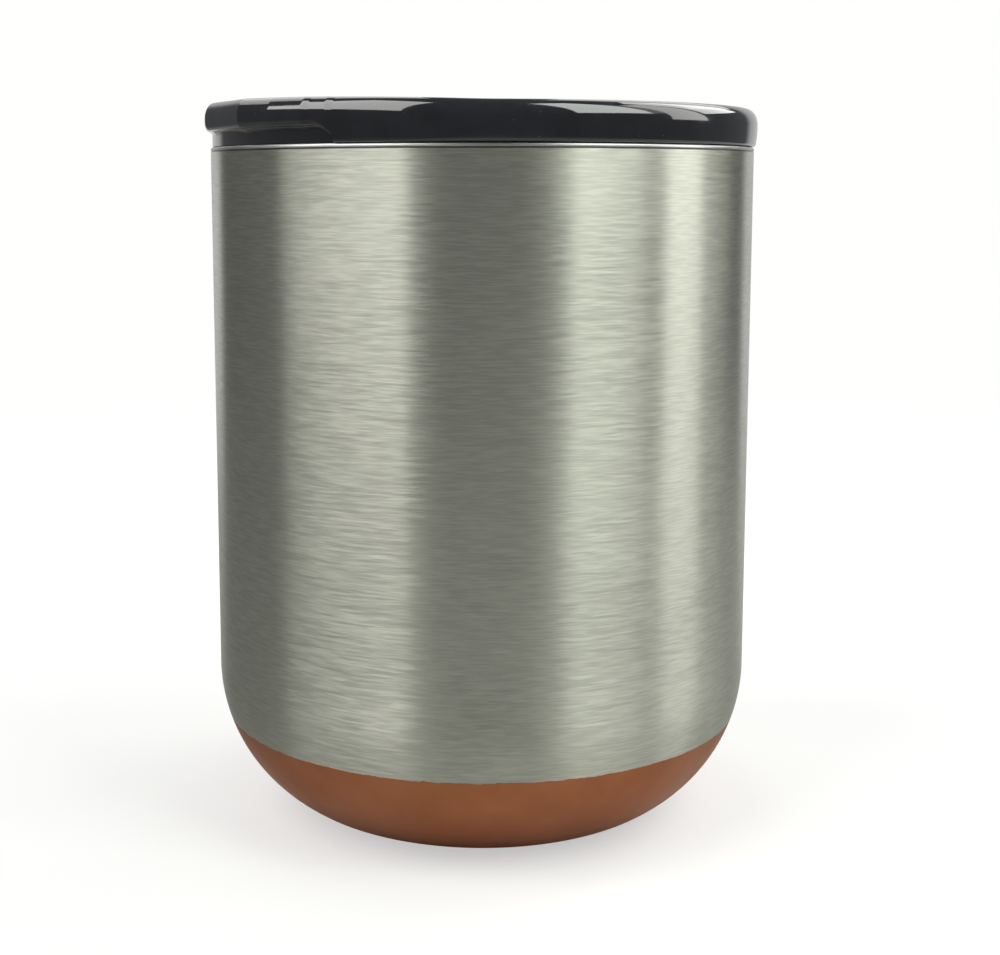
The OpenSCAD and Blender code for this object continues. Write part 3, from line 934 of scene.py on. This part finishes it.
def make_gasket():
    """Ring in the groove of the plug, with two lips that lean up."""
    low = bottom_of("lid_gasket")
    high = top_of("lid_gasket")
    tip_r = THROAT_R - 0.15 * MM
    band_r = PLUG_R + 0.05 * MM
    lip_h = 1.3 * MM
    back_round, root_round, tip_round = 0.1 * MM, 0.2 * MM, 0.15 * MM
    profile = rounded([
        (GROOVE_R, low, back_round), (band_r, low, root_round), (tip_r, low + 0.9 * MM, tip_round),
        (band_r, low + lip_h, root_round), (band_r, high - lip_h, root_round),
        (tip_r, high - 0.4 * MM, tip_round), (band_r, high, back_round), (GROOVE_R, high, back_round),
    ], step=20.0)
    bm = bmesh.new()
    lathe(bm, profile, 192)
    finish_mesh("gasket", bm, "lid", "lid_gasket", SILICONE)


# ---------------------------------------------------------------- slide closure

def slider_outline():
    """The slider's plate from above: square behind, with its front an arc about the cup's axis."""
    low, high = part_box("slider")
    half = high[1]
    nose = high[0]
    corner = math.degrees(math.asin(half / nose))
    front = arc((0.0, 0.0), nose, -corner, corner, 10)
    corners = [(low[0], half, 1.2 * MM), (low[0], -half, 1.2 * MM)]
    corners += [(front[0][0], front[0][1], 0.8 * MM)]
    corners += [(x, y, 0.0) for x, y in front[1:-1]]
    corners += [(front[-1][0], front[-1][1], 0.8 * MM)]
    return rounded(corners)


def add_grip(bm, base):
    """Thumb grip with ribs, standing on the plate."""
    middle = STEM_X - 10.0 * MM
    length, width, height = 10.0 * MM, 16.0 * MM, 1.9 * MM
    block = rectangle(middle, 0.0, length, width, 1.4 * MM)
    slab(bm, block, base - 0.4 * MM, base + 1.0 * MM, 0.3 * MM)
    ribs = 4
    pitch = length / ribs
    for k in range(ribs):
        x = middle - length / 2 + (k + 0.25) * pitch
        bar = rectangle(x, 0.0, pitch / 2, width - 1.6 * MM, pitch / 4)
        slab(bm, bar, base + 0.5 * MM, base + height, 0.3 * MM)


def add_prongs(bm):
    """The two halves of the split stem, each with a barb at its foot."""
    foot = bottom_of("slider")
    top = SLIDER_Z + 0.4 * MM
    bend = 0.1 * MM
    for side in (-1, 1):
        inner = STEM_X + side * 0.5 * MM
        outer = STEM_X + side * STEM[0] / 2
        barb = STEM_X + side * 3.3 * MM
        prong = [
            (inner, foot, bend), (outer, foot, bend), (barb, foot + 0.8 * MM, bend),
            (barb, foot + 1.0 * MM, bend / 2), (outer, foot + 1.0 * MM, bend / 2),
            (outer, top, 0.0), (inner, top, 0.0),
        ]
        slab(bm, rounded(prong), -STEM[1] / 2, STEM[1] / 2, 0.1 * MM, axis="y")


def make_slider():
    bm = bmesh.new()
    slab(bm, slider_outline(), SLIDER_Z, SLIDER_Z + SLIDER_T, 0.35 * MM)
    add_grip(bm, SLIDER_Z + SLIDER_T)
    add_prongs(bm)
    finish_mesh("thumb_slider", bm, "closure", "slider", LID_PLASTIC)


def make_seal():
    """Pad in the pocket of the slider, a little smaller than the pocket."""
    low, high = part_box("slider_seal")
    gap = 0.03 * MM
    length = high[0] - low[0] - 2 * gap
    width = high[1] - low[1] - 2 * gap
    outline = rectangle((low[0] + high[0]) / 2, (low[1] + high[1]) / 2, length, width, 1.0 * MM)
    bm = bmesh.new()
    slab(bm, outline, low[2], high[2] - gap, 0.12 * MM)
    finish_mesh("closure_pad", bm, "closure", "slider_seal", SILICONE)


def make_retainer():
    """Plate with rounded edges and an opening that fits the stem."""
    low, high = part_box("slider_retainer")
    fillet = 0.25 * MM
    fit = 0.02 * MM
    outline = rectangle(STEM_X, 0.0, high[0] - low[0], high[1] - low[1], 1.6 * MM)
    opening = rectangle(STEM_X, 0.0, STEM[0] + fit, STEM[1] + fit, 0.1 * MM)
    bm = bmesh.new()
    levels = [(fillet * (1 - math.cos(a)), low[2] + fillet * (1 - math.sin(a)))
              for a in [math.radians(30 * k) for k in range(3, -1, -1)]]
    levels += [(inset, low[2] + high[2] - z) for inset, z in reversed(levels)]
    add_rows(bm, [[(x, y, z) for x, y in offset(outline, -inset)] for inset, z in levels])
    add_rows(bm, [[(x, y, z) for x, y in opening] for z in (low[2], high[2])])
    fill(bm, offset(outline, -levels[0][0]), [opening], low[2])
    fill(bm, offset(outline, -levels[-1][0]), [opening], high[2])
    finish_mesh("slider_clip", bm, "closure", "slider_retainer", CLIP_PLASTIC)


make_wall()
make_base()
make_liner()
make_base_cover()
make_seal_bead()
make_getter()
make_getter_strap()
make_foil()
make_lid()
make_gasket()
make_slider()
make_seal()
make_retainer()


# ---------------------------------------------------------------- stage, light and camera

# Camera: how far round the axis it stands from -y, its distance from the axis and its height, and how far
# it looks down and to the side
VIEW_TURN = math.radians(-28.2)
CAMERA_REACH = 276.9 * MM
CAMERA_Z = 103.35 * MM
CAMERA_PITCH = math.radians(7.907)
CAMERA_PAN = math.radians(0.74)

# Softboxes: the upright ones stand round the cup, the overhead ones lie behind it
PANEL_REACH = 0.90
PANEL_FOOT = 0.43
PANEL_TOP = 1.60
TALL_PANEL_TOP = 2.60
CEILING_DEPTH = (0.60, 2.10)
CEILING_Z = 1.30

FLOOR_HALF = 0.7


def direction(azimuth, elevation):
    """Unit vector from the cup; azimuth 0 is towards the camera and grows to the picture's right."""
    a = math.radians(azimuth) + VIEW_TURN
    e = math.radians(elevation)
    return Vector((math.sin(a) * math.cos(e), -math.cos(a) * math.cos(e), math.sin(e)))


def add_camera():
    data = bpy.data.cameras.new("camera")
    data.sensor_width = 36.0
    data.lens = 60.0
    data.shift_x = 0.04
    data.shift_y = -0.0625
    data.clip_start = 0.01
    camera = bpy.data.objects.new("camera", data)
    camera.location = direction(0, 0) * CAMERA_REACH + Vector((0, 0, CAMERA_Z))
    camera.rotation_euler = (math.pi / 2 - CAMERA_PITCH, 0, VIEW_TURN + CAMERA_PAN)
    bpy.context.scene.collection.objects.link(camera)
    bpy.context.scene.camera = camera


def add_light(name, location, rotation, width, height, radiance, tint):
    """A soft rectangular light that the camera doesn't see."""
    data = bpy.data.lights.new(name, "AREA")
    data.shape = "RECTANGLE"
    data.size = width
    data.size_y = height
    data.energy = radiance * math.pi * width * height
    data.color = tint
    light = bpy.data.objects.new(name, data)
    light.location = location
    light.rotation_euler = rotation
    light.visible_camera = False
    bpy.context.scene.collection.objects.link(light)


def add_panel(name, first, last, radiance, tint, top=PANEL_TOP, foot=PANEL_FOOT):
    """An upright softbox that spans two azimuths as seen from the cup."""
    towards = direction((first + last) / 2, 0)
    width = 2 * PANEL_REACH * math.tan(math.radians((last - first) / 2))
    location = towards * PANEL_REACH + Vector((0, 0, (foot + top) / 2))
    rotation = towards.to_track_quat("Z", "Y").to_euler()
    add_light(name, location, rotation, width, top - foot, radiance, tint)


def add_ceiling(name, left, right, radiance, tint):
    """An overhead softbox between two distances to the picture's right of the cup's axis."""
    front, back = CEILING_DEPTH
    location = direction(90, 0) * (left + right) / 2 - direction(0, 0) * (front + back) / 2
    location.z = CEILING_Z
    add_light(name, location, (0.0, 0.0, VIEW_TURN), right - left, back - front, radiance, tint)


def floor_material():
    """Pale floor that fades out into the background.

    The camera sees it near white. In the cup's reflections it is a greyer table, with a painted pool of
    light next to the foot and painted shade on the picture's left.
    """
    n = Nodes("floor")
    length = n.add("ShaderNodeVectorMath", operation="LENGTH")
    n.link(n.position, length.inputs[0])
    away = length.outputs["Value"]
    along = n.add("ShaderNodeVectorMath", operation="DOT_PRODUCT")
    n.link(n.position, along.inputs[0])
    along.inputs[1].default_value = direction(90, 0)
    right = along.outputs["Value"]
    cloud = n.noise(6, detail=2.0)
    seen = n.add("ShaderNodeLightPath").outputs["Is Camera Ray"]

    table = n.mix(cloud, rgb(0.315, 0.315, 0.31), rgb(0.335, 0.335, 0.33))
    # painted shade: the table seen in reflections is darkened on the picture's left
    table = n.mix(n.ramp(right, -0.13, 0.0, 1.0, 0.0), table, rgb(0.15, 0.15, 0.145))
    # painted light: the table seen in reflections is made paler next to the foot
    table = n.mix(n.ramp(away, 0.03, 0.065, 1.0, 0.0), table, rgb(0.48, 0.48, 0.47))
    pale = n.mix(cloud, rgb(0.39, 0.39, 0.39), rgb(0.41, 0.41, 0.41))
    n.shade(Base_Color=n.mix(seen, table, pale), Roughness=0.9)
    n.shade(Emission_Color=rgb(1.0, 1.0, 1.0), Emission_Strength=n.maths("MULTIPLY", seen, 0.52))
    n.shade(Alpha=n.ramp(away, 0.25, 0.60, 1.0, 0.0))
    return n.material


def add_floor():
    bm = bmesh.new()
    bmesh.ops.create_grid(bm, x_segments=1, y_segments=1, size=FLOOR_HALF)
    mesh = bpy.data.meshes.new("floor")
    bm.to_mesh(mesh)
    bm.free()
    mesh.materials.append(floor_material())
    floor = bpy.data.objects.new("floor", mesh)
    bpy.context.scene.collection.objects.link(floor)


def add_world():
    """Pale well behind the cup and to the eye, dim elsewhere, so that the steel has a dark middle."""
    world = bpy.data.worlds.new("studio")
    bpy.context.scene.world = world
    world.use_nodes = True
    tree = world.node_tree
    tree.nodes.clear()

    where = add_node(tree, "ShaderNodeTexCoord")
    facing = add_node(tree, "ShaderNodeVectorMath", operation="DOT_PRODUCT")
    tree.links.new(where.outputs["Generated"], facing.inputs[0])
    facing.inputs[1].default_value = direction(180, 0)
    dim_to_pale = add_node(tree, "ShaderNodeMapRange", interpolation_type="SMOOTHSTEP")
    for key, value in {"From Min": 0.74, "From Max": 0.84, "To Min": 0.125, "To Max": 0.60}.items():
        dim_to_pale.inputs[key].default_value = value
    tree.links.new(facing.outputs["Value"], dim_to_pale.inputs["Value"])
    path = add_node(tree, "ShaderNodeLightPath")
    level = add_node(tree, "ShaderNodeMix", data_type="FLOAT")
    tree.links.new(path.outputs["Is Camera Ray"], level.inputs["Factor"])
    tree.links.new(dim_to_pale.outputs["Result"], level.inputs[2])
    level.inputs[3].default_value = 1.0
    background = add_node(tree, "ShaderNodeBackground")
    background.inputs["Color"].default_value = rgb(1.0, 1.0, 0.99)
    tree.links.new(level.outputs[0], background.inputs["Strength"])
    output = add_node(tree, "ShaderNodeOutputWorld")
    tree.links.new(background.outputs["Background"], output.inputs["Surface"])


add_camera()
add_floor()
add_world()
add_panel("left_softbox", -93, -31.5, 3.8, (1.0, 1.0, 0.96), top=TALL_PANEL_TOP)
add_panel("right_softbox", 38, 73, 4.8, (0.965, 1.0, 0.94), top=TALL_PANEL_TOP)
add_panel("right_softbox_edge", 74, 79, 0.8, (1.0, 1.0, 0.97))
add_panel("back_softbox", 80, 101, 2.8, (1.0, 1.0, 0.97), top=1.3, foot=0.15)
add_panel("back_softbox_edge", 104, 135, 3.4, (0.99, 1.0, 0.96))
add_ceiling("left_ceiling", -1.70, -0.13, 1.5, (1.0, 1.0, 0.97))
add_ceiling("right_ceiling", 0.20, 1.70, 1.5, (1.0, 1.0, 0.97))
bpy.context.scene.view_settings.view_transform = "Standard"
